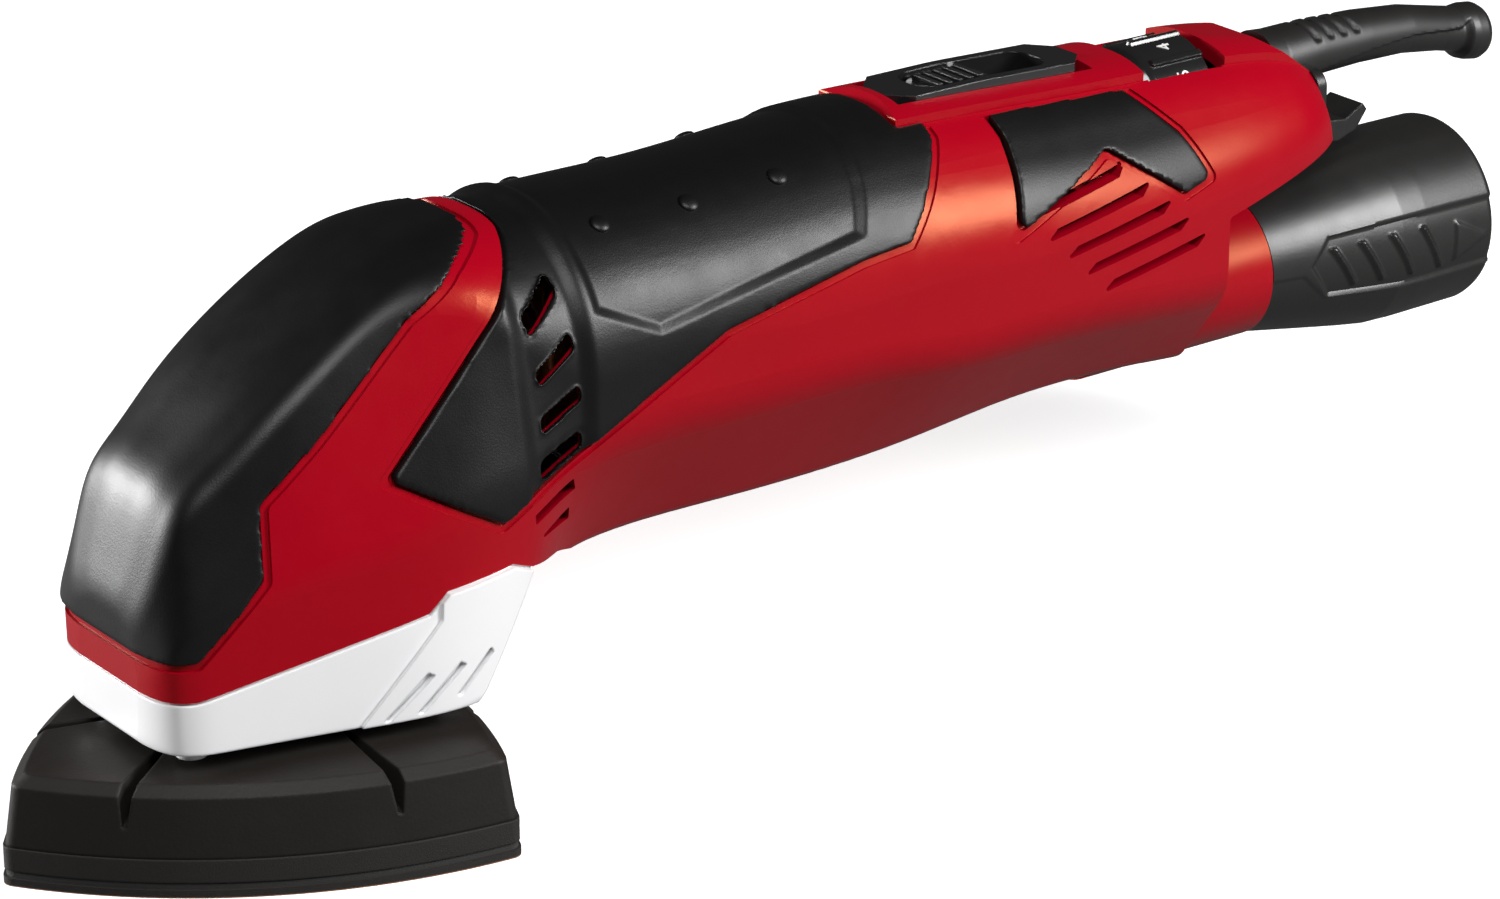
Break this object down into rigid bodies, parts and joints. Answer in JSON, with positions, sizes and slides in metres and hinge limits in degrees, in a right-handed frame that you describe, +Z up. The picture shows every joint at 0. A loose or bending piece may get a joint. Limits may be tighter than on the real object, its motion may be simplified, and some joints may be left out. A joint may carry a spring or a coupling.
{
  "type": "detail mouse sander",
  "caption": "Delta sander with lying motor, bevel drive, orbiting triangular pad, slide switch, speed dial and dust port adapter.",
  "frame": {"origin": "centre of the abrasive face of the pad, on the surface being sanded", "axes": "+X towards the cable end, +Z up from the abrasive face, tool symmetric about Y = 0"},
  "size_m": [0.367, 0.0946, 0.1128],
  "materials": {
    "abrasive": "grit on paper",
    "black_plastic": "satin black",
    "bright_steel": "machined steel",
    "carbon": "pressed carbon",
    "cast_alloy": "die cast",
    "circuit_board": "coated board",
    "copper_bar": "turned copper",
    "copper_winding": "enamelled copper",
    "core_steel": "laminated steel",
    "gloss_black": "gloss black",
    "hook_layer": "hook fabric",
    "inner_plastic": "moulded plastic",
    "pad_foam": "dense foam",
    "pad_rubber": "matte rubber",
    "red_housing": "satin moulded red",
    "silver_base": "satin silver",
    "sleeve_rubber": "matte rubber",
    "slider_black": "semi gloss black",
    "soft_grip": "soft matte black"
  },
  "bodies": {
    "housing": {"base_bumpers": "silver_base", "base_cover": "silver_base", "base_screws": "bright_steel", "bearing_plate": "cast_alloy", "brush_holders": "inner_plastic", "brush_springs": "bright_steel", "cable_clamp": "inner_plastic", "cable_sleeve": "sleeve_rubber", "capacitor": "inner_plastic", "carbon_brushes": "carbon", "clamp_screws": "bright_steel", "dial_pin": "bright_steel", "dust_duct": "inner_plastic", "dust_skirt": "black_plastic", "end_cap": "black_plastic", "field_coils": "copper_winding", "gear_bracket": "cast_alloy", "head_cap": "soft_grip", "housing_left": "red_housing", "housing_right": "red_housing", "housing_screws": "bright_steel", "motor_bearing_front": "bright_steel", "motor_bearing_rear": "bright_steel", "motor_carrier": "inner_plastic", "neck_grip_left": "soft_grip", "neck_grip_right": "soft_grip", "rear_bearing_seat": "pad_rubber", "rear_grip_left": "soft_grip", "rear_grip_right": "soft_grip", "speed_board": "circuit_board", "spindle_bearing_lower": "bright_steel", "spindle_bearing_upper": "bright_steel", "stator_core": "core_steel", "switch_bezel": "gloss_black", "switch_block": "inner_plastic", "tail_cover": "red_housing", "top_cover": "red_housing"},
    "armature": {"armature_shaft": "bright_steel", "armature_core": "core_steel", "armature_windings": "copper_winding", "commutator": "copper_bar", "fan": "inner_plastic", "bevel_pinion": "bright_steel"},
    "spindle": {"spindle": "bright_steel", "counterweight": "cast_alloy", "bevel_gear": "bright_steel", "pad_washer": "bright_steel", "pad_screw": "bright_steel"},
    "pad": {"pad_carrier": "pad_rubber", "pad_foam": "pad_foam", "hook_layer": "hook_layer", "sanding_sheet": "abrasive", "pad_bearing": "bright_steel", "swing_feet": "pad_rubber"},
    "switch_slider": {"switch_slider": "slider_black"},
    "speed_dial": {"speed_dial": "gloss_black"},
    "dust_adapter": {"dust_adapter": "black_plastic"}
  },
  "joints": [
    {"name": "armature_spin", "type": "hinge", "parent": "housing", "child": "armature", "pos_m": [0.08, 0, 0.0795], "axis": [1, 0, 0], "continuous": true},
    {"name": "spindle_spin", "type": "hinge", "parent": "housing", "child": "spindle", "pos_m": [0, 0, 0.05], "axis": [0, 0, 1], "continuous": true},
    {"name": "pad_orbit", "type": "hinge", "parent": "spindle", "child": "pad", "pos_m": [0.001, 0, 0.026], "axis": [0, 0, 1], "continuous": true},
    {"name": "switch_slide", "type": "slide", "parent": "housing", "child": "switch_slider", "axis": [1, 0, 0], "range_m": [0, 0.006]},
    {"name": "speed_dial_turn", "type": "hinge", "parent": "housing", "child": "speed_dial", "pos_m": [0.217, 0, 0.0971], "axis": [1, 0, 0], "range_deg": [-135, 135]},
    {"name": "dust_adapter_pull", "type": "slide", "parent": "housing", "child": "dust_adapter", "axis": [1, 0, 0], "range_m": [0, 0.02]}
  ],
  "couplings": [
    {"joint": "spindle_spin", "follows": "armature_spin", "ratio": 0.66667},
    {"joint": "pad_orbit", "follows": "armature_spin", "ratio": -0.66667}
  ]
}
